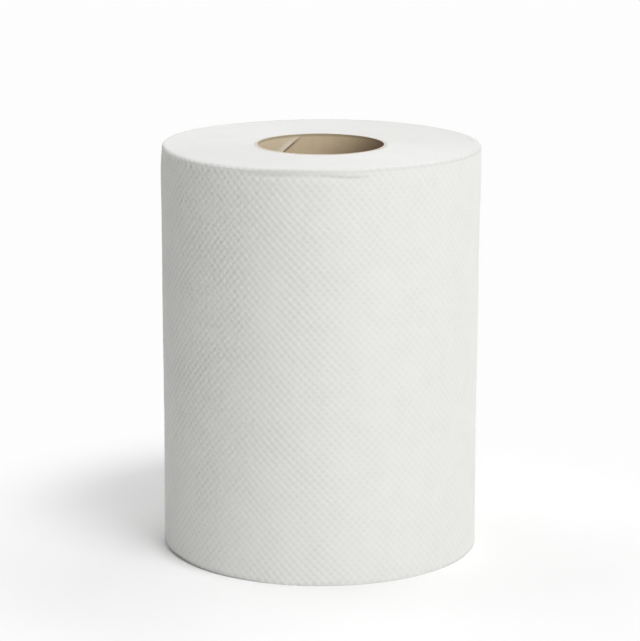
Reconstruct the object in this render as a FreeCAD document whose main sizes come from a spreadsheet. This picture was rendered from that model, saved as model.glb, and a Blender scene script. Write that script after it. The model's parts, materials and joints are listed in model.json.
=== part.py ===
import FreeCAD, Part
import math
import os
import Sketcher

# Paper towel roll standing on its end: a cardboard tube and the paper wound on it.
# Millimetres, +Z up, origin at the middle of the end that it stands on.
# The photographed side is -Y. Azimuths are counted from +X, anticlockwise from above.

# Each size that can be set by itself, written once
SIZES = [
    ("roll_height", 195.0, "width of the sheet, which is the height of the standing roll"),
    ("roll_diameter", 151.4, "outside of the wound paper"),
    ("rim_rounding", 1.2, "radius of the soft outer rim at each end"),
    ("core_bore", 60.0, "inside diameter of the cardboard tube"),
    ("core_wall", 1.5, "thickness of the tube's board"),
    ("glue_gap", 0.1, "from the tube to the first turn of paper"),
    ("turn_line_pitch", 6.2, "from one turn line to the next, on both ends"),
    ("turn_line_width", 0.7, "opening of one turn line"),
    ("turn_line_depth", 0.3, "depth of one turn line"),
    ("tail_step", 0.45, "height of the step at the free end of the sheet"),
    ("tail_azimuth", 80.0, "where the free end of the sheet lies, behind the roll"),
    ("tail_sweep", 80.0, "angle over which the turn below comes up to full size"),
    ("seam_pitch", 134.0, "rise of the tube's spiral seam in one turn"),
    ("seam_azimuth", 105.0, "where the seam meets the upper end of the tube"),
    ("seam_width", 0.6, "opening of the seam, measured upright"),
    ("seam_depth", 0.4, "depth of the seam in the board"),
    ("cut_overrun", 1.0, "how far a cutting shape reaches past what it cuts"),
]

# The soft rim is a quarter round in this many narrow slopes
RIM_SLOPES = 3

# How a sketch numbers its own origin, its X axis and the points of a line or an arc
ORIGIN_POINT = (-1, 1)
X_AXIS = -1
START = 1
END = 2
CENTRE = 3


def make_sheet(doc):
    """Spreadsheet with one row for each driving size."""
    sheet = doc.addObject("Spreadsheet::Sheet", "Sizes")
    for row, (alias, value, meaning) in enumerate(SIZES, start=1):
        sheet.set(f"A{row}", alias)
        sheet.set(f"B{row}", str(value))
        sheet.set(f"C{row}", meaning)
        sheet.setAlias(f"B{row}", alias)
    doc.recompute()
    return sheet


def add_body(doc, label):
    """One sub-part; its label names its file."""
    body = doc.addObject("PartDesign::Body", label)
    body.Label = label
    body.Placement = FreeCAD.Placement()
    return body


def origin_feature(body, role):
    """The body's own origin plane or axis that has the given role."""
    for feature in body.Origin.OriginFeatures:
        if feature.Role == role:
            return feature
    raise ValueError(f"{body.Label} has no {role}")


def add_sketch(body, name, plane):
    """Empty sketch on one of the body's origin planes."""
    sketch = body.newObject("Sketcher::SketchObject", name)
    sketch.AttachmentSupport = (origin_feature(body, plane), [""])
    sketch.MapMode = "FlatFace"
    return sketch


def bind(sketch, constraint, name, expression):
    """Add a dimension to the sketch and tie it to the spreadsheet."""
    index = sketch.addConstraint(constraint)
    sketch.renameConstraint(index, name)
    sketch.setExpression(f"Constraints.{name}", expression)


def pin_point(sketch, point, name, at, expressions):
    """Hold a point at a distance across and a distance up from the sketch's origin."""
    across = Sketcher.Constraint("DistanceX", *ORIGIN_POINT, *point, at[0])
    upward = Sketcher.Constraint("DistanceY", *ORIGIN_POINT, *point, at[1])
    bind(sketch, across, f"{name}_across", expressions[0])
    bind(sketch, upward, f"{name}_up", expressions[1])


def add_circle(sketch, name, radius, expression):
    """Circle about the roll's axis."""
    circle = Part.Circle(FreeCAD.Vector(), FreeCAD.Vector(0, 0, 1), radius)
    index = sketch.addGeometry(circle, False)
    sketch.addConstraint(Sketcher.Constraint("Coincident", index, CENTRE, *ORIGIN_POINT))
    bind(sketch, Sketcher.Constraint("Radius", index, radius), name, expression)


def add_outline(sketch, name, corners, expressions):
    """Closed outline of straight lines, each corner tied to a pair of expressions."""
    lines = []
    for here, there in zip(corners, corners[1:] + corners[:1]):
        line = Part.LineSegment(FreeCAD.Vector(*here, 0), FreeCAD.Vector(*there, 0))
        lines.append(sketch.addGeometry(line, False))
    for here, there in zip(lines, lines[1:] + lines[:1]):
        sketch.addConstraint(Sketcher.Constraint("Coincident", here, END, there, START))
    for number, line in enumerate(lines):
        pin_point(sketch, (line, START), f"{name}_corner_{number}", corners[number], expressions[number])


def rim_corner(sheet, number):
    """Corner of the lower soft rim: number 0 is on the end face, RIM_SLOPES on the side."""
    angle = 90 * number / RIM_SLOPES
    inset = sheet.rim_rounding * (1 - math.sin(math.radians(angle)))
    rise = sheet.rim_rounding * (1 - math.cos(math.radians(angle)))
    across = f"Sizes.roll_diameter / 2 - Sizes.rim_rounding * (1 - sin({angle} deg))"
    upward = f"Sizes.rim_rounding * (1 - cos({angle} deg))"
    return (sheet.roll_diameter / 2 - inset, rise), (across, upward)


def turn_winding(body, sheet):
    """Turn the half-section of the winding about the roll's axis."""
    first_turn = sheet.core_bore / 2 + sheet.core_wall + sheet.glue_gap
    first_turn_text = "Sizes.core_bore / 2 + Sizes.core_wall + Sizes.glue_gap"
    rim = [rim_corner(sheet, number) for number in range(RIM_SLOPES + 1)]
    corners = [(first_turn, 0.0)] + [at for at, _ in rim]
    corners += [(across, sheet.roll_height - rise) for (across, rise), _ in reversed(rim)]
    corners += [(first_turn, sheet.roll_height)]
    expressions = [(first_turn_text, "0")] + [text for _, text in rim]
    expressions += [(across, f"Sizes.roll_height - {rise}") for _, (across, rise) in reversed(rim)]
    expressions += [(first_turn_text, "Sizes.roll_height")]
    sketch = add_sketch(body, "half_section", "XZ_Plane")
    add_outline(sketch, "winding", corners, expressions)
    winding = body.newObject("PartDesign::Revolution", "winding")
    winding.Profile = sketch
    winding.ReferenceAxis = (origin_feature(body, "Z_Axis"), [""])
    winding.Angle = 360
    body.Document.recompute()
    return winding


def cut_tail_step(body, sheet):
    """Take a slim crescent off the side, so that the sheet's free end stands up as a step.

    In the sketch's own frame the crescent starts at nothing on the X axis and is deepest
    where it ends, tail_sweep further round.
    """
    radius = sheet.roll_diameter / 2
    outer = radius + sheet.cut_overrun
    inner = radius - sheet.tail_step
    sweep = math.radians(sheet.tail_sweep)
    offset = (radius**2 - inner**2) / (2 * (radius - inner * math.cos(sweep)))
    bed_centre = FreeCAD.Vector(offset, 0, 0)
    deep = FreeCAD.Vector(inner * math.cos(sweep), inner * math.sin(sweep), 0)
    clear = FreeCAD.Vector(outer * math.cos(sweep), outer * math.sin(sweep), 0)
    bed_angle = math.atan2(deep.y, deep.x - offset)
    upward = FreeCAD.Vector(0, 0, 1)

    sketch = add_sketch(body, "tail_crescent", "XY_Plane")
    sketch.AttachmentOffset = FreeCAD.Placement(FreeCAD.Vector(), FreeCAD.Rotation(upward, 1.0))
    sketch.setExpression("AttachmentOffset.Rotation.Angle", "Sizes.tail_azimuth - Sizes.tail_sweep")
    bed_circle = Part.Circle(bed_centre, upward, radius - offset)
    bed = sketch.addGeometry(Part.ArcOfCircle(bed_circle, 0, bed_angle), False)
    outer_circle = Part.Circle(FreeCAD.Vector(), upward, outer)
    outside = sketch.addGeometry(Part.ArcOfCircle(outer_circle, 0, sweep), False)
    step = sketch.addGeometry(Part.LineSegment(deep, clear), False)
    thin_end = Part.LineSegment(FreeCAD.Vector(outer, 0, 0), FreeCAD.Vector(radius, 0, 0))
    thin_end = sketch.addGeometry(thin_end, False)

    sketch.addConstraint([
        Sketcher.Constraint("Coincident", bed, END, step, START),
        Sketcher.Constraint("Coincident", step, END, outside, END),
        Sketcher.Constraint("Coincident", outside, START, thin_end, START),
        Sketcher.Constraint("Coincident", thin_end, END, bed, START),
        Sketcher.Constraint("Coincident", outside, CENTRE, *ORIGIN_POINT),
        Sketcher.Constraint("PointOnObject", bed, CENTRE, X_AXIS),
        Sketcher.Constraint("PointOnObject", bed, START, X_AXIS),
        Sketcher.Constraint("PointOnObject", outside, START, X_AXIS),
    ])
    full_size = Sketcher.Constraint("DistanceX", *ORIGIN_POINT, bed, START, radius)
    bind(sketch, full_size, "full_size", "Sizes.roll_diameter / 2")
    reach = Sketcher.Constraint("Radius", outside, outer)
    bind(sketch, reach, "reach", "Sizes.roll_diameter / 2 + Sizes.cut_overrun")
    inner_text = "(Sizes.roll_diameter / 2 - Sizes.tail_step)"
    deep_across = f"{inner_text} * cos(Sizes.tail_sweep * 1 deg)"
    deep_up = f"{inner_text} * sin(Sizes.tail_sweep * 1 deg)"
    pin_point(sketch, (bed, END), "deep_end", (deep.x, deep.y), (deep_across, deep_up))
    clear_text = "(Sizes.roll_diameter / 2 + Sizes.cut_overrun)"
    clear_across = Sketcher.Constraint("DistanceX", *ORIGIN_POINT, outside, END, clear.x)
    bind(sketch, clear_across, "clear_across", f"{clear_text} * cos(Sizes.tail_sweep * 1 deg)")

    pocket = body.newObject("PartDesign::Pocket", "tail_step")
    pocket.Profile = sketch
    pocket.Type = "ThroughAll"
    pocket.Midplane = True
    body.Document.recompute()
    return pocket


def turn_line_count(sheet):
    """How many turn lines fit between the first turn and the soft rim."""
    first_turn = sheet.core_bore / 2 + sheet.core_wall + sheet.glue_gap
    rim = sheet.roll_diameter / 2 - sheet.rim_rounding - sheet.tail_step
    return int((rim - first_turn - sheet.turn_line_width / 2) / sheet.turn_line_pitch)


def cut_turn_lines(body, sheet):
    """Rings cut into both ends, where the edges of the wound sheet part a little."""
    first_turn = sheet.core_bore / 2 + sheet.core_wall + sheet.glue_gap
    first_turn_text = "Sizes.core_bore / 2 + Sizes.core_wall + Sizes.glue_gap"
    sketch = add_sketch(body, "turn_line_sections", "XZ_Plane")
    ends = [
        ("lower", 0.0, "0", 1, "+"),
        ("upper", sheet.roll_height, "Sizes.roll_height", -1, "-"),
    ]
    for number in range(1, turn_line_count(sheet) + 1):
        middle = first_turn + number * sheet.turn_line_pitch
        middle_text = f"{first_turn_text} + {number} * Sizes.turn_line_pitch"
        for end, level, level_text, inward, sign in ends:
            proud = level - inward * sheet.cut_overrun
            proud_text = f"{level_text} - {inward} * Sizes.cut_overrun"
            deepest = level + inward * sheet.turn_line_depth
            # The sides run on past the end face, so the opening there is turn_line_width.
            flare = sheet.turn_line_width / 2 * (1 + sheet.cut_overrun / sheet.turn_line_depth)
            flare_text = "Sizes.turn_line_width / 2 * (1 + Sizes.cut_overrun / Sizes.turn_line_depth)"
            corners = [(middle - flare, proud), (middle + flare, proud), (middle, deepest)]
            expressions = [
                (f"{middle_text} - {flare_text}", proud_text),
                (f"{middle_text} + {flare_text}", proud_text),
                (middle_text, f"{level_text} {sign} Sizes.turn_line_depth"),
            ]
            add_outline(sketch, f"{end}_line_{number}", corners, expressions)
    groove = body.newObject("PartDesign::Groove", "turn_lines")
    groove.Profile = sketch
    groove.ReferenceAxis = (origin_feature(body, "Z_Axis"), [""])
    groove.Angle = 360
    body.Document.recompute()
    return groove


def cut_spiral_seam(body, sheet):
    """Shallow left-handed groove on the inner wall, where the wound board's edges meet."""
    bore = sheet.core_bore / 2
    sketch = add_sketch(body, "seam_section", "XZ_Plane")
    upward = FreeCAD.Vector(0, 1, 0)
    sketch.AttachmentOffset = FreeCAD.Placement(FreeCAD.Vector(), FreeCAD.Rotation(upward, 1.0))
    climb = "(Sizes.roll_height + Sizes.cut_overrun + Sizes.seam_width)"
    start_azimuth = f"Sizes.seam_azimuth + 360 * {climb} / Sizes.seam_pitch"
    sketch.setExpression("AttachmentOffset.Rotation.Angle", f"mod({start_azimuth}; 360)")
    near = bore - sheet.cut_overrun
    deep = bore + sheet.seam_depth
    top = -sheet.cut_overrun
    bottom = top - sheet.seam_width
    near_text = "Sizes.core_bore / 2 - Sizes.cut_overrun"
    deep_text = "Sizes.core_bore / 2 + Sizes.seam_depth"
    top_text = "-Sizes.cut_overrun"
    bottom_text = "-Sizes.cut_overrun - Sizes.seam_width"
    corners = [(near, bottom), (deep, bottom), (deep, top), (near, top)]
    expressions = [
        (near_text, bottom_text),
        (deep_text, bottom_text),
        (deep_text, top_text),
        (near_text, top_text),
    ]
    add_outline(sketch, "seam", corners, expressions)
    helix = body.newObject("PartDesign::SubtractiveHelix", "spiral_seam")
    helix.Profile = sketch
    helix.ReferenceAxis = (origin_feature(body, "Z_Axis"), [""])
    helix.Mode = "pitch-height-angle"
    helix.LeftHanded = True
    helix.setExpression("Pitch", "Sizes.seam_pitch")
    helix.setExpression("Height", "Sizes.roll_height + 2 * (Sizes.cut_overrun + Sizes.seam_width)")
    body.Document.recompute()
    return helix


def paper_roll(doc, sheet):
    """The whole winding is one solid: soft rims, turn lines on its ends and the sheet's free end."""
    body = add_body(doc, "paper_roll")
    winding = turn_winding(body, sheet)
    stepped = cut_tail_step(body, sheet)
    lined = cut_turn_lines(body, sheet)
    check_cuts([winding, stepped, lined])
    return body


def cardboard_core(doc, sheet):
    """Tube of wound board, as long as the sheet is wide."""
    body = add_body(doc, "cardboard_core")
    sketch = add_sketch(body, "tube_section", "XY_Plane")
    outer = sheet.core_bore / 2 + sheet.core_wall
    add_circle(sketch, "outer_radius", outer, "Sizes.core_bore / 2 + Sizes.core_wall")
    add_circle(sketch, "bore_radius", sheet.core_bore / 2, "Sizes.core_bore / 2")
    tube = body.newObject("PartDesign::Pad", "tube")
    tube.Profile = sketch
    tube.setExpression("Length", "Sizes.roll_height")
    doc.recompute()
    seamed = cut_spiral_seam(body, sheet)
    check_cuts([tube, seamed])
    return body


def check_cuts(features):
    """Each feature takes something off the one before it."""
    for before, after in zip(features, features[1:]):
        if not after.Shape.Volume < before.Shape.Volume:
            raise RuntimeError(f"{after.Name} cuts nothing")


def check_document(doc, bodies):
    """Stop before anything is written if an object failed or a shape isn't sound."""
    for item in doc.Objects:
        if "Invalid" in item.State or "Error" in item.State:
            raise RuntimeError(f"{item.Label} failed: {item.State}")
    for body in bodies:
        if body.Shape.isNull() or not body.Shape.isValid():
            raise RuntimeError(f"{body.Label} has no valid shape")


def main():
    doc = FreeCAD.newDocument("TowelRoll")
    sheet = make_sheet(doc)
    bodies = [paper_roll(doc, sheet), cardboard_core(doc, sheet)]
    doc.recompute()
    check_document(doc, bodies)
    os.makedirs("parts", exist_ok=True)
    for body in bodies:
        body.Shape.exportStep(f"parts/{body.Label}.step")
        box = body.Shape.BoundBox
        print(f"{body.Label}: {body.Shape.Volume:.0f} mm3, {len(body.Shape.Solids)} solid, "
              f"{box.XMin:.2f}..{box.XMax:.2f}, {box.YMin:.2f}..{box.YMax:.2f}, "
              f"{box.ZMin:.2f}..{box.ZMax:.2f}")


main()
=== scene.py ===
import json
import math

import bmesh
import bpy
import numpy as np
from mathutils import Matrix, Vector


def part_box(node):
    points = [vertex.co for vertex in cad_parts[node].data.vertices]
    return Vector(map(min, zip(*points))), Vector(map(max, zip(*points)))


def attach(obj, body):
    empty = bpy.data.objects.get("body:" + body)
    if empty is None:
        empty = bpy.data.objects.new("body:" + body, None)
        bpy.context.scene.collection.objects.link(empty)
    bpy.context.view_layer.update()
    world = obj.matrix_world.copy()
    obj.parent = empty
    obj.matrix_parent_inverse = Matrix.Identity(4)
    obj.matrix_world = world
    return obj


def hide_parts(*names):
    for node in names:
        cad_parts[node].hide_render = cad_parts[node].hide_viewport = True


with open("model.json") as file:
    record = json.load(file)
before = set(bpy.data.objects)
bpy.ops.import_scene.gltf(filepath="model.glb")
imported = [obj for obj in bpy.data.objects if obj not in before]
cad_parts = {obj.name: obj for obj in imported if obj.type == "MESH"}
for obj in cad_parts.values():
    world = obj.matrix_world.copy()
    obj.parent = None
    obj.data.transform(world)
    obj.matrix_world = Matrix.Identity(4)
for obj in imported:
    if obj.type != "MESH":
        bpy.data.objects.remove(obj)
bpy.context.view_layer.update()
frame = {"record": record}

# Paper towel roll: embossed sheet wound on a board tube. Metres; azimuths from +X, anticlockwise.
MM = 0.001
TURN = 2 * math.pi

# From the frame
_, roll_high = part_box("paper_roll")
_, core_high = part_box("cardboard_core")
mounts = {mount["name"]: mount for mount in frame["record"]["mounts"]}
ROLL_HEIGHT = roll_high.z
ROLL_RADIUS = roll_high.x
CORE_RADIUS = core_high.x
BORE_RADIUS = mounts["core_bore"]["dims"]["r_mm"] * MM

# The same sizes as in the part
GLUE_GAP = 0.1 * MM
RIM_ROUNDING = 1.2 * MM
TAIL_STEP = 0.45 * MM
TAIL_AZIMUTH = math.radians(80)
TAIL_SWEEP = math.radians(80)
SEAM_PITCH = 134 * MM

# The tube: where its seam meets the upper end, and the columns of its mesh in one turn
SEAM_TOP_AZIMUTH = math.radians(106.5)
TUBE_COLUMNS = 120

# The emboss: rows of small pits, each row half a pitch along from the next, and the side on which
# handling has shifted them most
PITS_AROUND = 123
COLUMNS_PER_PIT = 4
ROWS_OF_PITS = 95
PIT_DEPTH = 0.44 * MM
KNOT_RISE = 0.12 * MM
COLUMNS = PITS_AROUND * COLUMNS_PER_PIT
HANDLED_AZIMUTH = math.radians(200)

# The free end of the sheet: its column of the mesh, how far it lifts and over what length, and how
# far each row of four in the mesh stands out at its toothed edge
TAIL_COLUMN = round(TAIL_AZIMUTH / TURN * COLUMNS)
TAIL_LIFT = 0.40 * MM
TAIL_LIFT_REACH = 7 * MM
TAIL_TEETH = (0.25 * MM, 0.15 * MM, 0.0, 0.0)

# The outer turns, with the soft rims, and the turns inside them
WINDING_BORE = CORE_RADIUS + GLUE_GAP
OUTER_TURNS_INSIDE = ROLL_RADIUS - 2.7 * MM
TURN_PITCH = 0.28 * MM
TURN_RELIEF = 0.028 * MM
TURN_COLUMNS = 128

# How far the outer turns stand up at the upper rim: all round but for the back, and more in front
RIM_RISE = 0.4 * MM
FRONT_RISE = 0.7 * MM

# The crease under the front of the upper rim. In millimetres: how far below the edge it lies, how far
# it falls to the right and how far it wavers. Then how many of its waves would go round the roll,
# and its depth. In radians from the front: where it starts, falls and ends
CREASE_LEVEL = 3.43
CREASE_FALL = 1.1
CREASE_WAVER = 0.12
CREASE_WAVES = 23.0
CREASE_DEPTH = 0.55 * MM
CREASE_STARTS = (-0.52, -0.36)
CREASE_FALLS = (-0.08, 0.20)
CREASE_ENDS = (0.20, 0.31)

# Floor and background as the camera sees them. Near the roll at the lower left the floor loses a share
# of its glow as painted shadow; the shadow's reach is from where the floor turns white to where it is so
FLOOR_COLOUR = (0.820, 0.820, 0.820)
FLOOR_GLOW = 0.15
GLOW_LOST = 0.7
GLOW_LOST_REACH = 9 * MM
SHADOW_REACH = (0.135, 0.225)
WHITE = 0.985

# The floor's size, and its colour for the light that it throws back on to the roll
FLOOR_HALF_WIDTH = 4.0
FLOOR_BOUNCE = (0.85, 0.85, 0.85)

# The lamps stand on a sphere round this place
LAMP_AIM = (0, 0, 0.1)
LAMP_DISTANCE = 1.6
WIDE_LAMP = 1.4
SMALL_LAMP = 0.55

# The photographed view, worked out from the roll's edges
CAMERA_PLACE = (-0.00014, -1.2954, 0.4085)
CAMERA_PITCH = math.radians(13.02)
CAMERA_ROLL = math.radians(0.138)
CAMERA_LENS = 155.1


def soft_noise(x, y, z, length, seed):
    """Smooth noise of about unit size, varying over length; x, y and z are arrays of places."""
    rng = np.random.default_rng(seed)
    waves = 14
    direction = rng.normal(size=(waves, 3))
    direction /= np.linalg.norm(direction, axis=1)[:, None]
    stretch = TURN / length * rng.uniform(0.6, 1.4, size=waves)
    phase = rng.uniform(0, TURN, size=waves)
    total = np.zeros(np.broadcast(x, y, z).shape)
    for (dx, dy, dz), rate, start in zip(direction, stretch, phase):
        total += np.cos(rate * (dx * x + dy * y + dz * z) + start)
    return total / math.sqrt(waves / 2)


def smooth_step(value, low, high):
    """0 below low, 1 above high and a smooth rise between them."""
    t = np.clip((value - low) / (high - low), 0, 1)
    return t * t * (3 - 2 * t)


def turned(azimuth):
    """Azimuth brought into 0 to one turn."""
    return np.mod(azimuth, TURN)


def from_front(azimuth):
    """Angle from the roll's front, rising to the right, between minus and plus half a turn."""
    return turned(azimuth + 0.75 * TURN) - TURN / 2


def add_piece(name, mesh, material, node):
    """Put a finished mesh into the scene as a piece that stands for a node of the frame."""
    piece = bpy.data.objects.new(name, mesh)
    bpy.context.scene.collection.objects.link(piece)
    mesh.materials.append(material)
    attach(piece, "root")
    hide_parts(node)


def ring_mesh(name, radius, azimuth, height, smooth):
    """Closed ring: row k of the arrays is one station of a closed profile, column i one azimuth."""
    rows, columns = radius.shape
    places = np.stack([radius * np.cos(azimuth), radius * np.sin(azimuth), height], axis=-1)
    row, column = np.meshgrid(np.arange(rows), np.arange(columns), indexing="ij")
    next_row, next_column = (row + 1) % rows, (column + 1) % columns
    corners = np.stack([
        row * columns + column,
        row * columns + next_column,
        next_row * columns + next_column,
        next_row * columns + column,
    ], axis=-1).reshape(-1, 4)
    mesh = bpy.data.meshes.new(name)
    mesh.from_pydata(places.reshape(-1, 3).tolist(), [], corners.tolist())
    mesh.polygons.foreach_set("use_smooth", [smooth] * len(mesh.polygons))
    return mesh


# The outer turns

def side_stations():
    """Profile of the outer turns from the lower rim to the upper one, half a row of pits at a time.

    Gives each station's radius, height, outward direction as (radial, upward), how much of the
    emboss it keeps and its place on the sheet, counted in rows of pits.
    """
    quarter = RIM_ROUNDING * math.pi / 2
    length = 2 * quarter + ROLL_HEIGHT - 2 * RIM_ROUNDING
    row_pitch = length / ROWS_OF_PITS
    fine = list(np.linspace(0, quarter, 6))
    places = fine + [row_pitch * half / 2 for half in range(2, 2 * ROWS_OF_PITS - 1)]
    places += [length - place for place in reversed(fine)]
    stations = []
    for along in places:
        from_end = min(along, length - along)
        upper = along > length / 2
        angle = min(from_end / RIM_ROUNDING, math.pi / 2)
        radius = ROLL_RADIUS - RIM_ROUNDING * (1 - math.sin(angle))
        rise = RIM_ROUNDING * (1 - math.cos(angle)) + max(from_end - quarter, 0)
        height = ROLL_HEIGHT - rise if upper else rise
        upward = math.cos(angle) * (1 if upper else -1)
        emboss = float(smooth_step(from_end, 0.0, 0.6 * quarter))
        stations.append((radius, height, math.sin(angle), upward, emboss, along / row_pitch))
    return np.array(stations)


def lower_rim_softness(side):
    """The lower rim's rounding, as a share of the plain one: pressed flat but for the left."""
    left = -np.sin(side)
    return 0.2 + 1.4 * smooth_step(left, 0.2, 0.75) + 0.9 * smooth_step(left, 0.75, 0.98)


def upper_rim_softness(side):
    """The upper rim's rounding, as a share of the plain one: softer at the left of the front."""
    return 1 + 0.9 * smooth_step(-np.sin(side), 0.25, 0.6) * smooth_step(np.cos(side), 0.0, 0.35)


def edge_rise(side):
    """How far the outer turns stand up at the upper rim: most in front and on the right."""
    but_behind = 1 - np.exp(-8 * (1 - np.cos(side + 2.7)))
    in_front = smooth_step(side, -0.60, 0.0) * (1 - smooth_step(side, 0.2, 2.2))
    return RIM_RISE * but_behind + FRONT_RISE * in_front


def emboss_strength(side, height):
    """Share of the pits' depth: crisp on the left and towards the top, rubbed down towards the base."""
    around = 1.08 + 0.40 * np.cos(side + 1.2) - 0.22 * smooth_step(-side, 0.15, 0.70)
    return around * (0.80 + 0.22 * smooth_step(height, 30 * MM, 170 * MM))


def swelling(distance, amount, middle, spread):
    """Amount at the middle, falling off over the spread on both sides of it."""
    return amount * np.exp(-((distance - middle) / spread) ** 2)


def fullness(side, height):
    """Radius added: pressed in at the rim on the left, full under the rim and drawn in lower down."""
    below = (ROLL_HEIGHT - height) / MM
    left = np.maximum(-np.sin(side), 0) ** 4
    right = np.maximum(np.sin(side), 0) ** 4
    left_rim = swelling(below, 0.2, 16, 10) + swelling(below, -0.6, 0, 5)
    right_rim = swelling(below, 0.6, 12, 22)
    waist = swelling(height / MM, -0.3, 68, 34)
    return MM * (left * left_rim + right * right_rim + waist)


def crease_level(side):
    """Millimetres from the rim's edge down to the crease; side is an array."""
    fall = CREASE_FALL * smooth_step(side, *CREASE_FALLS)
    return CREASE_LEVEL + fall + CREASE_WAVER * np.cos(CREASE_WAVES * side + 2.0)


def crease_reach(side):
    """Share of the crease's depth round the rim: from the left of the front to the right of it."""
    return smooth_step(side, *CREASE_STARTS) * (1 - smooth_step(side, *CREASE_ENDS))


def tail_offset(azimuth, height):
    """Radius added by the free end of the sheet: the turn below dips towards it and the end lifts."""
    before = turned(TAIL_AZIMUTH - azimuth)
    dip = np.where(before < TAIL_SWEEP, 1 - np.cos(TAIL_SWEEP - before), 0.0)
    dip *= -TAIL_STEP / (1 - math.cos(TAIL_SWEEP))
    after = turned(azimuth - TAIL_AZIMUTH) * ROLL_RADIUS
    wave = 0.6 + 0.4 * np.cos(height / (9 * MM)) * np.cos(height / (23 * MM) + 1.0)
    lift = TAIL_LIFT * wave * (1 - smooth_step(after, 0.0, TAIL_LIFT_REACH))
    return np.where(before > 0, dip, 0.0) + lift


def pits(x, y, height, side, rows_up):
    """Relief of the emboss: pits, with low knots between them, deeper in some places than in others."""
    across = np.arange(COLUMNS)[None, :] / COLUMNS_PER_PIT
    wave = np.cos(TURN * across) * np.cos(math.pi * rows_up)
    depth = 1 + 0.16 * soft_noise(x, y, height, 34 * MM, seed=3)
    depth += 0.16 * soft_noise(x, y, height, 6 * MM, seed=4)
    depth = np.clip(depth, 0.35, 1.5) * emboss_strength(side, height)
    return np.where(wave > 0, -PIT_DEPTH * wave * depth, -KNOT_RISE * wave)


def row_wander(x, y, height, azimuth, emboss):
    """How far the rows of pits wander across and up, most where the sheet has been handled."""
    loose = emboss * (0.6 + 0.4 * np.cos(azimuth - HANDLED_AZIMUTH))
    across = 0.34 * MM * soft_noise(x, y, height, 38 * MM, seed=7) * loose
    up = 0.30 * MM * soft_noise(x, y, height, 30 * MM, seed=8) * loose
    from_tail = np.abs(turned(azimuth - TAIL_AZIMUTH + TURN / 2) - TURN / 2) * ROLL_RADIUS
    return across * smooth_step(from_tail, 1 * MM, 12 * MM), up


def outer_turns_mesh():
    """The embossed side with both rims, as a closed ring a few turns thick."""
    stations = side_stations()
    step = TURN / COLUMNS
    azimuth = np.arange(COLUMNS) * step
    azimuth[TAIL_COLUMN] = TAIL_AZIMUTH
    azimuth[TAIL_COLUMN - 1] = TAIL_AZIMUTH - 0.06 * step
    radius, height, outward, upward, emboss, rows_up = (stations[:, i][:, None] for i in range(6))
    azimuth = np.repeat(azimuth[None, :], len(stations), axis=0)
    height = np.repeat(height, COLUMNS, axis=1)
    x, y = ROLL_RADIUS * np.cos(azimuth), ROLL_RADIUS * np.sin(azimuth)
    side = from_front(azimuth)
    below = (ROLL_HEIGHT - height) / MM

    crease = crease_reach(side) * (1 + 0.22 * soft_noise(x, y, height, 9 * MM, seed=9))
    creased = np.clip(crease, 0, 1)
    emboss = emboss * (1 - creased * (1 - smooth_step(below, 3.0, 5.0)))
    relief = pits(x, y, height, side, rows_up) * emboss
    swell = 0.05 * MM * soft_noise(x, y, height, 60 * MM, seed=5)
    swell += 0.022 * MM * soft_noise(x, y, height, 17 * MM, seed=6)
    relief = relief + swell * np.clip(emboss + 0.3, 0, 1)
    drift_across, drift_up = row_wander(x, y, height, azimuth, emboss)
    for row, tooth in enumerate(TAIL_TEETH):
        drift_across[row::len(TAIL_TEETH), TAIL_COLUMN - 1:TAIL_COLUMN + 1] -= tooth

    # The crease lies along a row of the mesh, which is brought to its level.
    row_below = below - CREASE_LEVEL
    drift_up = drift_up * smooth_step(below, 1.0, 8.0)
    drift_up -= creased * (crease_level(side) - CREASE_LEVEL) * swelling(row_below, MM, 0, 2.2)
    relief -= crease * swelling(row_below, CREASE_DEPTH, 0, 1.1)
    drift_up += edge_rise(side) * swelling(below, 1, 0, 12)

    on_rim = RIM_ROUNDING + 0.001 * MM
    lower_softness = np.where(height < on_rim, lower_rim_softness(side), 1.0)
    upper_softness = np.where(ROLL_HEIGHT - height < on_rim, upper_rim_softness(side), 1.0)
    radius = ROLL_RADIUS - (ROLL_RADIUS - radius) * lower_softness * upper_softness
    total_radius = radius + (relief + fullness(side, height) + tail_offset(azimuth, height)) * outward
    total_height = ROLL_HEIGHT - (ROLL_HEIGHT - height * lower_softness) * upper_softness
    total_height += relief * upward + drift_up * np.where(below < 2, 1, np.abs(outward))
    total_height = np.maximum(total_height, 0)
    azimuth = azimuth + drift_across / ROLL_RADIUS

    lip = np.full((1, COLUMNS), OUTER_TURNS_INSIDE)
    total_radius = np.vstack([lip, total_radius, lip])
    azimuth = np.vstack([azimuth[:1], azimuth, azimuth[-1:]])
    low = np.full((1, COLUMNS), TURN_RELIEF)
    total_height = np.vstack([low, total_height, ROLL_HEIGHT - low + edge_rise(side[-1:])])
    mesh = ring_mesh("outer_turns", total_radius, azimuth, total_height, True)
    mesh.set_sharp_from_angle(angle=math.radians(50))
    add_lattice(mesh, np.concatenate([[0.0], rows_up[:, 0], [ROWS_OF_PITS]]))
    return mesh


def add_lattice(mesh, rows_up):
    """Keep each corner's place on the sheet, counted in pits across and rows of pits up."""
    layer = mesh.uv_layers.new(name="sheet_lattice")
    row, column = np.meshgrid(np.arange(len(rows_up)), np.arange(COLUMNS), indexing="ij")
    corner_rows = np.stack([row, row, row + 1, row + 1], axis=-1) % len(rows_up)
    corner_columns = np.stack([column, column + 1, column + 1, column], axis=-1)
    across = corner_columns / COLUMNS_PER_PIT
    up = rows_up[corner_rows]
    layer.data.foreach_set("uv", np.stack([across, up], axis=-1).astype(np.float32).ravel())


# The turns inside

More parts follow.
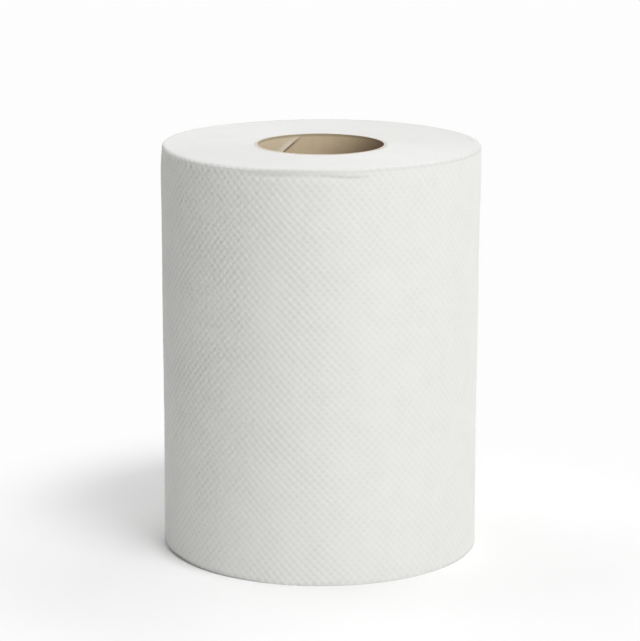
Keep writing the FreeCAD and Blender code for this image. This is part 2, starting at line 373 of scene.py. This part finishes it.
def inner_turns_mesh():
    """The rest of the winding: each turn's edge is a fine ridge, and the last turns rise to the rim."""
    rng = np.random.default_rng(11)
    turns = int((OUTER_TURNS_INSIDE - WINDING_BORE) / TURN_PITCH)
    edges = np.linspace(WINDING_BORE, OUTER_TURNS_INSIDE + 0.03 * MM, 2 * turns + 1)
    valley = np.arange(2 * turns + 1) % 2
    azimuth = np.linspace(0, TURN, TURN_COLUMNS, endpoint=False)[None, :]
    shape = (len(edges), TURN_COLUMNS)
    radius = np.broadcast_to(edges[:, None], shape)
    x, y = radius * np.cos(azimuth), radius * np.sin(azimuth)
    sunk = valley[:, None] * TURN_RELIEF
    uneven = 0.006 * MM * rng.uniform(0, 1, size=len(edges))[:, None]
    levels = []
    for end, seed in ((0, 21), (1, 22)):
        wander = 0.03 * MM * (soft_noise(x, y, 0 * x + end, 26 * MM, seed) + 1.5)
        levels.append(sunk + uneven + np.clip(wander, 0, None))
    lower_height, upper_depth = levels
    outermost = smooth_step(radius, ROLL_RADIUS - 16 * MM, ROLL_RADIUS + 4 * MM) / 0.9
    upper_height = ROLL_HEIGHT - upper_depth + edge_rise(from_front(azimuth)) * outermost
    all_radius = np.vstack([radius, radius[::-1]])
    all_height = np.vstack([lower_height, upper_height[::-1]])
    all_azimuth = np.broadcast_to(azimuth, all_radius.shape)
    return ring_mesh("inner_turns", all_radius, all_azimuth, all_height, False)


# The board tube

def seam_profile():
    """Steps up the wound board from one seam to the next, each with the depth of its face.

    Above the seam the board's edge stands up off the ply below; the rest of it lies a little deep.
    """
    lifted = [(0.0, -0.15), (0.5, -0.13), (1.4, -0.05), (2.6, 0.04), (4.2, 0.08)]
    even = [(at, 0.08) for at in np.linspace(10, 124, 15)]
    under = [(130.0, 0.08), (132.6, 0.12), (133.4, 0.20), (133.9, 0.22)]
    return [(at * MM, depth * MM) for at, depth in lifted + even + under]


def core_tube_mesh():
    """Tube of spirally wound board: made overlong along its own seam, then cut square at both ends."""
    profile = seam_profile()
    climb = ROLL_HEIGHT + 2 * SEAM_PITCH
    count = int(TUBE_COLUMNS * climb / SEAM_PITCH)
    shell = bmesh.new()
    for bore in (True, False):
        grid = []
        for i in range(count + 1):
            turn = i / TUBE_COLUMNS
            azimuth = SEAM_TOP_AZIMUTH - TURN * (1 - turn)
            seam = ROLL_HEIGHT + SEAM_PITCH - SEAM_PITCH * turn
            line = []
            for at, depth in profile + [(SEAM_PITCH, profile[0][1])]:
                radius = BORE_RADIUS + depth if bore else CORE_RADIUS
                place = (radius * math.cos(azimuth), radius * math.sin(azimuth), seam + at)
                line.append(shell.verts.new(place))
            grid.append(line)
        for here, there in zip(grid, grid[1:]):
            for k in range(len(profile)):
                ring = [here[k], here[k + 1], there[k + 1], there[k]]
                shell.faces.new(ring if bore else ring[::-1])
    bmesh.ops.remove_doubles(shell, verts=shell.verts, dist=0.002 * MM)
    for level, upward in ((0.0, -1), (ROLL_HEIGHT, 1)):
        geometry = shell.verts[:] + shell.edges[:] + shell.faces[:]
        bmesh.ops.bisect_plane(shell, geom=geometry, plane_co=(0, 0, level), plane_no=(0, 0, upward),
                               clear_outer=True, dist=0.0005 * MM)
        rim = [edge for edge in shell.edges if edge.is_boundary
               and all(abs(vertex.co.z - level) < 0.01 * MM for vertex in edge.verts)]
        bmesh.ops.bridge_loops(shell, edges=rim)
    bmesh.ops.recalc_face_normals(shell, faces=shell.faces)
    mesh = bpy.data.meshes.new("core_tube")
    shell.to_mesh(mesh)
    shell.free()
    mesh.polygons.foreach_set("use_smooth", [True] * len(mesh.polygons))
    mesh.set_sharp_from_angle(angle=math.radians(30))
    return mesh


# Shader helpers

class Signal:
    """A number that changes over a surface, so that shader sums can be written as sums."""

    def __init__(self, tree, socket):
        self.tree = tree
        self.socket = socket

    def worked(self, operation, *others):
        node = self.tree.nodes.new("ShaderNodeMath")
        node.operation = operation
        for socket, value in zip(node.inputs, (self, *others)):
            if isinstance(value, Signal):
                self.tree.links.new(value.socket, socket)
            else:
                socket.default_value = value
        return Signal(self.tree, node.outputs[0])

    def __add__(self, other):
        return self.worked("ADD", other)

    def __sub__(self, other):
        return self.worked("SUBTRACT", other)

    def __mul__(self, other):
        return self.worked("MULTIPLY", other)

    def __truediv__(self, other):
        return self.worked("DIVIDE", other)

    def __pow__(self, other):
        return self.worked("POWER", other)

    def __abs__(self):
        return self.worked("ABSOLUTE")

    def cosine(self):
        return self.worked("COSINE")

    def floor(self):
        return self.worked("FLOOR")

    def fraction(self):
        return self.worked("FRACT")

    def at_least(self, other):
        return self.worked("MAXIMUM", other)

    def at_most(self, other):
        return self.worked("MINIMUM", other)

    def rising(self, low, high):
        """0 below low, 1 above high and smooth between them."""
        return self.ramp(low, high, 0.0, 1.0)

    def falling(self, low, high):
        """1 below low, 0 above high and smooth between them."""
        return self.ramp(low, high, 1.0, 0.0)

    def ramp(self, low, high, first, last):
        node = self.tree.nodes.new("ShaderNodeMapRange")
        node.interpolation_type = "SMOOTHSTEP"
        for name, number in (("From Min", low), ("From Max", high), ("To Min", first), ("To Max", last)):
            node.inputs[name].default_value = number
        self.tree.links.new(self.socket, node.inputs["Value"])
        return Signal(self.tree, node.outputs["Result"])


def new_material(name):
    """Material with an empty tree but for its shader and output; gives the material, tree and shader."""
    material = bpy.data.materials.new(name)
    material.use_nodes = True
    tree = material.node_tree
    return material, tree, tree.nodes["Principled BSDF"]


def set_finish(shader, roughness, shine):
    """How rough the surface is, and how much of the light it mirrors."""
    shader.inputs["Roughness"].default_value = roughness
    shader.inputs["Specular IOR Level"].default_value = shine


def object_place(tree):
    """Socket with the place on the piece, in metres."""
    return tree.nodes.new("ShaderNodeTexCoord").outputs["Object"]


def round_the_axis(x, y):
    """Distance from the roll's axis and angle from its front, rising to the right."""
    return (x * x + y * y).worked("SQRT"), x.worked("ARCTAN2", y * -1.0)


def parted(tree, vector):
    """The three numbers of a vector."""
    node = tree.nodes.new("ShaderNodeSeparateXYZ")
    tree.links.new(vector, node.inputs["Vector"])
    return [Signal(tree, node.outputs[name]) for name in "XYZ"]


def waver(tree, along, rate, detail=1.0):
    """Noise along one number, from about 0 to 1."""
    node = tree.nodes.new("ShaderNodeTexNoise")
    node.noise_dimensions = "1D"
    node.inputs["Scale"].default_value = rate
    node.inputs["Detail"].default_value = detail
    tree.links.new(along.socket, node.inputs["W"])
    return Signal(tree, node.outputs["Fac"])


def tinted(tree, base, *layers):
    """Base colour with each (amount, colour) layer laid over it; gives a socket."""
    under = base
    for amount, colour in layers:
        node = tree.nodes.new("ShaderNodeMix")
        node.data_type = "RGBA"
        tree.links.new(amount.socket, node.inputs["Factor"])
        if isinstance(under, tuple):
            node.inputs["A"].default_value = (*under, 1)
        else:
            tree.links.new(under, node.inputs["A"])
        node.inputs["B"].default_value = (*colour, 1)
        under = node.outputs["Result"]
    return under


def from_nearer_end(z):
    """Millimetres from the nearer end of the roll."""
    return (abs(z - ROLL_HEIGHT / 2) * -1.0 + ROLL_HEIGHT / 2) / MM


def add_bump(tree, shader, height):
    """Feed a height in millimetres to the shader's normal."""
    node = tree.nodes.new("ShaderNodeBump")
    node.inputs["Distance"].default_value = MM
    tree.links.new(height.socket, node.inputs["Height"])
    tree.links.new(node.outputs["Normal"], shader.inputs["Normal"])


def fibre_group():
    """Felted fibres: fine flecks and a soft cloudiness, each from about 0 to 1."""
    group = bpy.data.node_groups.new("felted_fibres", "ShaderNodeTree")
    group.interface.new_socket("Place", in_out="INPUT", socket_type="NodeSocketVector")
    for name in ("Fleck Rate", "Cloud Rate"):
        group.interface.new_socket(name, in_out="INPUT", socket_type="NodeSocketFloat")
    for name in ("Flecks", "Clouds"):
        group.interface.new_socket(name, in_out="OUTPUT", socket_type="NodeSocketFloat")
    inputs = group.nodes.new("NodeGroupInput")
    outputs = group.nodes.new("NodeGroupOutput")
    for rate, detail, output in (("Fleck Rate", 3.0, "Flecks"), ("Cloud Rate", 4.0, "Clouds")):
        noise = group.nodes.new("ShaderNodeTexNoise")
        noise.inputs["Detail"].default_value = detail
        noise.inputs["Roughness"].default_value = 0.6
        group.links.new(inputs.outputs["Place"], noise.inputs["Vector"])
        group.links.new(inputs.outputs[rate], noise.inputs["Scale"])
        group.links.new(noise.outputs["Fac"], outputs.inputs[output])
    return group


def add_fibres(tree, group, place, fleck_rate, cloud_rate):
    """Place the fibre group with a material's own values; gives flecks and clouds."""
    node = tree.nodes.new("ShaderNodeGroup")
    node.node_tree = group
    node.inputs["Fleck Rate"].default_value = fleck_rate
    node.inputs["Cloud Rate"].default_value = cloud_rate
    tree.links.new(place, node.inputs["Place"])
    return Signal(tree, node.outputs["Flecks"]), Signal(tree, node.outputs["Clouds"])


# Paper

PAPER = (0.855, 0.855, 0.826)
# Cloudy tone of the paper, also used as painted shade in the pits and the crease, under the free end and at
# the lower left
PAPER_SHADE = (0.640, 0.640, 0.618)
EDGE_PAPER = (0.800, 0.800, 0.783)
# Cloudy tone of the cut edges, also used as painted shade on the rim at the right
EDGE_SHADE = (0.730, 0.730, 0.715)


def embossed_paper(fibres):
    """Outer turns: soft white tissue whose emboss goes on below the size of the mesh."""
    material, tree, shader = new_material("embossed_paper")
    place = object_place(tree)
    lattice = tree.nodes.new("ShaderNodeUVMap")
    lattice.uv_map = "sheet_lattice"
    across, up, _ = parted(tree, lattice.outputs["UV"])
    wave = (across * TURN).cosine() * (up * math.pi).cosine()
    flecks, clouds = add_fibres(tree, fibres, place, 1300.0, 90.0)
    ring = pressed_rings(across, up)
    x, y, z = parted(tree, place)
    from_axis, side = round_the_axis(x, y)
    add_bump(tree, shader, flecks * 0.05 - wave * 0.05 - ring * 0.08)
    # Painted shadow under the free end's edge; with it go painted shade in the pits and the crease, and the
    # paper's cloudy tone
    painted_shadow_under_tail = bell(across - (TAIL_COLUMN - 1) / COLUMNS_PER_PIT, 0.14)
    painted_shade_and_clouds = pit_painted_shade(wave, clouds, side, z) + crease_painted_shade(tree, side, z) * 0.20
    painted_shade_and_clouds = painted_shade_and_clouds + clouds.rising(0.35, 0.75) * 0.06 + painted_shadow_under_tail * 0.7
    rim = from_nearer_end(z).falling(0.2, 1.6)
    outermost = from_axis.rising(ROLL_RADIUS - 2.2 * MM, ROLL_RADIUS - 0.8 * MM)
    # Painted shade on the outermost rim at the right, where the lamps light it most
    painted_shade_right_rim = outermost * side.rising(0.6, 1.2) * side.falling(1.9, 2.6) * 0.8
    # Painted contact shadow on the lower rim at the left, where the roll stands on the floor
    lower_left = side.falling(-0.95, -0.10) * side.rising(-2.9, -2.0)
    painted_contact_shadow = z.falling(0.3 * MM, 3.2 * MM) * lower_left
    colour = tinted(
        tree, PAPER,
        (painted_shade_and_clouds, PAPER_SHADE),
        (rim, EDGE_PAPER),
        (rim * painted_shade_right_rim, EDGE_SHADE),
        (painted_contact_shadow, PAPER_SHADE),
    )
    tree.links.new(colour, shader.inputs["Base Color"])
    set_finish(shader, 0.92, 0.18)
    return material


def pit_painted_shade(wave, clouds, side, z):
    """Painted shade in the pits, where less light comes: most on the left and there towards the base."""
    left = side.falling(-1.25, -0.55) * side.rising(-3.0, -2.2)
    strength = (side + 1.2).cosine() * 0.08 + left * (z.falling(50 * MM, 150 * MM) * 0.10 + 0.12) + 0.15
    return wave.at_least(0.0) * (clouds.rising(0.30, 0.70) * 0.7 + 0.65) * strength


def pressed_rings(across, up):
    """Faint open rings pressed into the sheet, in columns that stand half a step apart."""
    cell_across, cell_up = 20.5, 31.0
    ring_radius = 9.6
    column = across / cell_across
    shift = (column.floor() / 2).fraction()
    row = up / cell_up + shift
    pit_pitch = TURN * ROLL_RADIUS / PITS_AROUND / MM
    row_pitch = ROLL_HEIGHT / ROWS_OF_PITS / MM
    sideways = (column.fraction() - 0.5) * (cell_across * pit_pitch)
    upward = (row.fraction() - 0.5) * (cell_up * row_pitch)
    distance = (sideways * sideways + upward * upward).worked("SQRT")
    line = abs(distance - ring_radius).falling(0.2, 0.9)
    opening = upward.worked("ARCTAN2", sideways).rising(-2.2, -1.7)
    return line * opening


def crease_painted_shade(tree, side, z):
    """Painted shade in the crease under the front of the upper rim, and in the faint line that goes on from
    it.
    """
    below = (z * -1.0 + ROLL_HEIGHT + RIM_RISE + FRONT_RISE) / MM
    level = side.rising(*CREASE_FALLS) * CREASE_FALL + (side * CREASE_WAVES + 2.0).cosine() * CREASE_WAVER
    deep = side.rising(*CREASE_STARTS) * side.falling(*CREASE_ENDS) * (side.rising(-0.05, 0.12) * 2.0 + 0.8)
    deep_line = bell(below - (level + CREASE_LEVEL - 0.5), 0.7)
    faint = side.rising(0.20, 0.35) * side.falling(1.0, 1.4)
    faint_line = bell(below - (waver(tree, side, 9.0) + 0.7), 0.30)
    return deep * deep_line + faint * faint_line * 0.30


def bell(offset, width):
    """1 where offset is 0, falling off over width."""
    return ((offset / width) ** 2.0 * -1.0).worked("EXPONENT")


def sheet_edges(fibres):
    """Ends of the turns inside: the cut edges of the tissue."""
    material, tree, shader = new_material("sheet_edges")
    place = object_place(tree)
    flecks, clouds = add_fibres(tree, fibres, place, 2600.0, 60.0)
    colour = tinted(tree, EDGE_PAPER, (clouds.rising(0.4, 0.8) * 0.3, EDGE_SHADE))
    tree.links.new(colour, shader.inputs["Base Color"])
    add_bump(tree, shader, flecks * 0.02)
    set_finish(shader, 0.95, 0.12)
    return material


# Board

BOARD = (0.800, 0.675, 0.480)
BOARD_FLECK = (0.620, 0.490, 0.320)
# Pale fibres, also used as painted light above the seam
BOARD_FIBRE_AND_PAINTED_LIGHT = (0.860, 0.740, 0.560)
# Painted shade on the bore wall
BOARD_PAINTED_SHADE = (0.200, 0.122, 0.070)
# Painted light on the seam's lifted edge
BOARD_PAINTED_LIGHT = (0.950, 0.870, 0.720)
# Dark joint and painted shadow at the seam; also makes the board darker near the ends
BOARD_DARK = (0.270, 0.195, 0.125)
BOARD_CUT = (0.690, 0.630, 0.555)


def core_board(fibres):
    """Unbleached board: fine flecks, machine lines along the ply, paler cut ends, a dark joint and painted
    shadow at the seam, painted light on its lifted edge and in a band above it, painted shade in a band
    further along, and darker near the ends.
    """
    material, tree, shader = new_material("core_board")
    place = object_place(tree)
    flecks, clouds = add_fibres(tree, fibres, place, 1900.0, 160.0)
    x, y, z = parted(tree, place)
    azimuth = y.worked("ARCTAN2", x)
    turns_up = (z - ROLL_HEIGHT) / SEAM_PITCH + (azimuth - SEAM_TOP_AZIMUTH) / TURN
    above_seam = turns_up.fraction() * (SEAM_PITCH / MM)
    machine_lines = waver(tree, above_seam, 1.1, 2.0)
    pressed_flat = from_nearer_end(z).rising(0.5, 5.0)
    # Dark joint at the seam, darkened further as painted shadow under the ply's edge
    joint_and_painted_shadow = above_seam.rising(132.0, 133.4) * pressed_flat
    # Painted light on the board's lifted edge above the seam
    painted_light_on_lifted_edge = above_seam.falling(1.4, 4.2) * pressed_flat
    # Painted light in a band just above the seam
    painted_light_band = above_seam.falling(6.0, 40.0)
    # Painted shade in a band along the ply, further on from the seam
    painted_shade_band = above_seam.rising(30.0, 80.0) * above_seam.falling(92.0, 122.0)
    sawn_edge = from_nearer_end(z).falling(0.5, 1.7)
    cut_end = from_nearer_end(z).falling(0.01, 0.03)
    colour = tinted(
        tree, BOARD,
        (clouds.rising(0.40, 0.72) * 0.30, BOARD_FLECK),
        (flecks.rising(0.56, 0.70) * 0.45, BOARD_FLECK),
        (flecks.falling(0.30, 0.44) * 0.45, BOARD_FIBRE_AND_PAINTED_LIGHT),
        (painted_shade_band * 0.94, BOARD_PAINTED_SHADE),
        (painted_light_band * 0.80, BOARD_FIBRE_AND_PAINTED_LIGHT),
        (painted_light_on_lifted_edge * 0.95, BOARD_PAINTED_LIGHT),
        (joint_and_painted_shadow * 0.85, BOARD_DARK),
        (sawn_edge * 0.50, BOARD_DARK),
        (cut_end, BOARD_CUT),
        (cut_end * flecks.rising(0.50, 0.65) * 0.6, PAPER),
    )
    tree.links.new(colour, shader.inputs["Base Color"])
    add_bump(tree, shader, machine_lines * 0.03 + flecks * 0.05)
    set_finish(shader, 0.85, 0.25)
    return material


# The studio

def make_camera():
    """Camera at the photograph's place."""
    data = bpy.data.cameras.new("photograph_view")
    data.lens = CAMERA_LENS
    data.sensor_width = 36
    camera = bpy.data.objects.new("photograph_view", data)
    bpy.context.scene.collection.objects.link(camera)
    turn = Matrix.Rotation(math.pi / 2 - CAMERA_PITCH, 4, "X") @ Matrix.Rotation(CAMERA_ROLL, 4, "Z")
    camera.matrix_world = Matrix.Translation(CAMERA_PLACE) @ turn
    bpy.context.scene.camera = camera


def add_lamp(name, side, elevation, power, width=WIDE_LAMP):
    """Round soft lamp aimed at the roll; side is in degrees from the roll's front to the right."""
    side, elevation = math.radians(side), math.radians(elevation)
    level = math.cos(elevation)
    away = Vector((math.sin(side) * level, -math.cos(side) * level, math.sin(elevation)))
    data = bpy.data.lights.new(name, "AREA")
    data.shape = "DISK"
    data.size = width
    data.energy = power
    lamp = bpy.data.objects.new(name, data)
    bpy.context.scene.collection.objects.link(lamp)
    lamp.location = Vector(LAMP_AIM) + away * LAMP_DISTANCE
    lamp.rotation_euler = (-away).to_track_quat("-Z", "Y").to_euler()
    lamp.visible_camera = False


def make_lamps():
    """One lamp whose shadow shows, and wide ones round the roll and over it."""
    add_lamp("key_right", 37, 66, 9.4, width=SMALL_LAMP)
    add_lamp("overhead", 0, 88, 8.1)
    add_lamp("fill_front", 20, 15, 11.9)
    add_lamp("fill_right", 100, 15, 3.4)
    add_lamp("fill_right_back", 140, 15, 11.2)
    add_lamp("fill_left_back", -120, 15, 2.6)
    add_lamp("fill_left_high", -120, 50, 5.6)


def seen_directly(tree):
    """1 for rays from the camera or a reflection, 0 for light that bounces on to the object."""
    path = tree.nodes.new("ShaderNodeLightPath")
    camera, glossy, through = (Signal(tree, path.outputs[f"Is {kind} Ray"])
                               for kind in ("Camera", "Glossy", "Transmission"))
    return (camera + glossy + through).at_most(1.0)


def blended(tree, amount, first, second):
    """Shader that goes from first to second."""
    node = tree.nodes.new("ShaderNodeMixShader")
    tree.links.new(amount.socket, node.inputs[0])
    tree.links.new(first, node.inputs[1])
    tree.links.new(second, node.inputs[2])
    return node.outputs[0]


def glowing(tree, strength):
    """Plain white light; its strength is a number or a signal."""
    node = tree.nodes.new("ShaderNodeEmission")
    if isinstance(strength, Signal):
        tree.links.new(strength.socket, node.inputs["Strength"])
    else:
        node.inputs["Strength"].default_value = strength
    return node.outputs[0]


def make_floor():
    """Pale floor that keeps the roll's shadow and turns plain white further out."""
    half = FLOOR_HALF_WIDTH
    corners = [(-half, -half, 0), (half, -half, 0), (half, half, 0), (-half, half, 0)]
    mesh = bpy.data.meshes.new("floor")
    mesh.from_pydata(corners, [], [(0, 1, 2, 3)])
    floor = bpy.data.objects.new("floor", mesh)
    bpy.context.scene.collection.objects.link(floor)
    material, tree, shader = new_material("pale_floor")
    mesh.materials.append(material)
    shader.inputs["Base Color"].default_value = (*FLOOR_BOUNCE, 1)
    set_finish(shader, 0.95, 0.1)
    x, y, _ = parted(tree, object_place(tree))
    from_axis, side = round_the_axis(x, y)
    # Painted contact shadow: close to the roll at the lower left the floor loses part of its glow
    shadowed = from_axis.falling(ROLL_RADIUS, ROLL_RADIUS + GLOW_LOST_REACH)
    shadowed = shadowed * side.rising(-1.7, -1.3) * side.falling(-1.0, -0.4)
    near = tree.nodes.new("ShaderNodeBsdfDiffuse")
    near.inputs["Color"].default_value = (*FLOOR_COLOUR, 1)
    lit = tree.nodes.new("ShaderNodeAddShader")
    tree.links.new(near.outputs[0], lit.inputs[0])
    tree.links.new(glowing(tree, (shadowed * -GLOW_LOST + 1.0) * FLOOR_GLOW), lit.inputs[1])
    far = from_axis.rising(*SHADOW_REACH)
    shown = blended(tree, far, lit.outputs[0], glowing(tree, WHITE))
    final = blended(tree, seen_directly(tree), shader.outputs[0], shown)
    tree.links.new(final, tree.nodes["Material Output"].inputs["Surface"])


def make_world():
    """White where it is seen, and dark as a light, so that only the lamps light the roll."""
    world = bpy.data.worlds.new("studio")
    bpy.context.scene.world = world
    world.use_nodes = True
    tree = world.node_tree
    tree.nodes["Background"].inputs["Color"].default_value = (1, 1, 1, 1)
    tree.links.new((seen_directly(tree) * WHITE).socket, tree.nodes["Background"].inputs["Strength"])


make_camera()
make_lamps()
make_floor()
make_world()
felted = fibre_group()
add_piece("outer_turns", outer_turns_mesh(), embossed_paper(felted), "paper_roll")
add_piece("inner_turns", inner_turns_mesh(), sheet_edges(felted), "paper_roll")
add_piece("core_tube", core_tube_mesh(), core_board(felted), "cardboard_core")
bpy.context.scene.view_settings.view_transform = "Standard"
